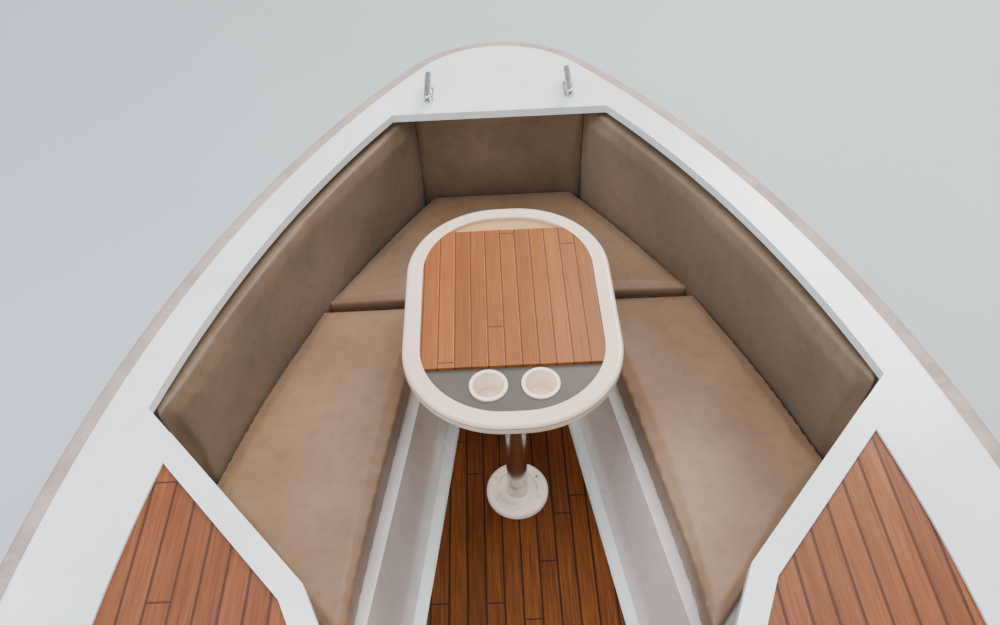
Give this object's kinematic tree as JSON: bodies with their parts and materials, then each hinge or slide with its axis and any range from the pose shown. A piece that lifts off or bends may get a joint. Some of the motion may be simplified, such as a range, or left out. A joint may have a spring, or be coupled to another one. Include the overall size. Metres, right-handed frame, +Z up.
{
  "type": "open speedboat with bow lounge",
  "caption": "Open speedboat afloat: V hull, bow lounge with table, two consoles, windscreen gate, swivel seats, engine hatch, swim platform, ladder and stern drive",
  "frame": {"origin": "on the centreline at the waterline, near mid-length", "axes": "+Y towards the bow, +X to starboard, +Z up"},
  "size_m": [2.14, 6.7298, 2.0249],
  "materials": {
    "gelcoat": "glossy white gelcoat over glass fibre",
    "strip": "beige rub strip",
    "teak": "oiled planks",
    "upholstery": "tan marine vinyl cloth",
    "glass": "clear safety glass",
    "aluminium": "anodised",
    "stainless": "polished stainless steel",
    "cup_plastic": "cream moulded",
    "wheel_trim": "black grip",
    "drive_paint": "dark grey cast housing"
  },
  "bodies": {
    "root": {"backrest_forward": "upholstery", "backrest_port": "upholstery", "backrest_starboard": "upholstery", "bench_back": "upholstery", "bench_base": "gelcoat", "bench_cushion": "upholstery", "bow_cushion_forward": "upholstery", "bow_cushion_port": "upholstery", "bow_cushion_starboard": "upholstery", "bow_eye": "stainless", "bow_floor_teak": "teak", "bow_seat_base": "gelcoat", "cleats": "stainless", "cockpit_floor_teak": "teak", "cockpit_liner_port": "gelcoat", "cockpit_liner_starboard": "gelcoat", "console_panel_port": "teak", "console_panel_starboard": "teak", "console_port": "gelcoat", "console_starboard": "gelcoat", "dash_port": "gelcoat", "dash_starboard": "gelcoat", "deck": "gelcoat", "engine": "drive_paint", "hatch_hinges": "stainless", "hull": "gelcoat", "ladder_hinges": "stainless", "platform_teak": "teak", "rub_strip": "strip", "seat_pedestal_port": "aluminium", "seat_pedestal_starboard": "aluminium", "steering_column": "wheel_trim", "swim_platform": "gelcoat", "table_ring": "gelcoat", "throttle": "wheel_trim", "transom_shield": "drive_paint", "windscreen_frame_port": "aluminium", "windscreen_frame_starboard": "aluminium", "windscreen_glass_port": "glass", "windscreen_glass_starboard": "glass"},
    "table": {"table_top": "gelcoat", "table_teak": "teak", "table_cups": "cup_plastic", "table_leg": "stainless"},
    "gate": {"gate_frame": "aluminium", "gate_glass": "glass"},
    "steering_wheel": {"steering_wheel": "wheel_trim"},
    "helm_seat": {"seat_pan_starboard": "gelcoat", "seat_cushion_starboard": "upholstery", "seat_back_starboard": "upholstery"},
    "companion_seat": {"seat_pan_port": "gelcoat", "seat_cushion_port": "upholstery", "seat_back_port": "upholstery"},
    "engine_hatch": {"engine_hatch": "gelcoat", "sunpad": "upholstery"},
    "ladder": {"ladder": "stainless"},
    "drive_gimbal": {"drive_gimbal": "drive_paint"},
    "drive_leg": {"drive_leg": "drive_paint"},
    "propeller": {"propeller": "stainless"}
  },
  "joints": [
    {"name": "table_lift", "type": "slide", "parent": "root", "child": "table", "axis": [0, 0, 1], "range_m": [0, 0.12]},
    {"name": "gate_swing", "type": "hinge", "parent": "root", "child": "gate", "pos_m": [-0.303, 1.14449, 0.92364], "axis": [0, -0.6691, 0.7431], "range_deg": [0, 170]},
    {"name": "wheel_turn", "type": "hinge", "parent": "root", "child": "steering_wheel", "pos_m": [0.54, 0.75097, 0.99284], "axis": [0, -0.8858, 0.464], "range_deg": [-540, 540]},
    {"name": "helm_seat_swivel", "type": "hinge", "parent": "root", "child": "helm_seat", "pos_m": [0.505, 0.245, 0.49], "axis": [0, 0, 1], "continuous": true},
    {"name": "companion_seat_swivel", "type": "hinge", "parent": "root", "child": "companion_seat", "pos_m": [-0.505, 0.245, 0.49], "axis": [0, 0, 1], "continuous": true},
    {"name": "hatch_lift", "type": "hinge", "parent": "root", "child": "engine_hatch", "pos_m": [0, -2.63949, 0.81089], "axis": [1, 0, 0], "range_deg": [0, 65]},
    {"name": "ladder_fold", "type": "hinge", "parent": "root", "child": "ladder", "pos_m": [0.56, -3.322, 0.322], "axis": [1, 0, 0], "range_deg": [0, 262]},
    {"name": "drive_steer", "type": "hinge", "parent": "root", "child": "drive_gimbal", "pos_m": [0, -2.91, -0.07], "axis": [0, 0, 1], "range_deg": [-30, 30]},
    {"name": "drive_tilt", "type": "hinge", "parent": "drive_gimbal", "child": "drive_leg", "pos_m": [0, -2.91, -0.07], "axis": [-1, 0, 0], "range_deg": [-4, 45]},
    {"name": "propeller_spin", "type": "hinge", "parent": "drive_leg", "child": "propeller", "pos_m": [0, -3.3056, -0.59], "axis": [0, 1, 0], "continuous": true}
  ],
  "couplings": [
    {"joint": "drive_steer", "follows": "wheel_turn", "ratio": -0.055556}
  ]
}
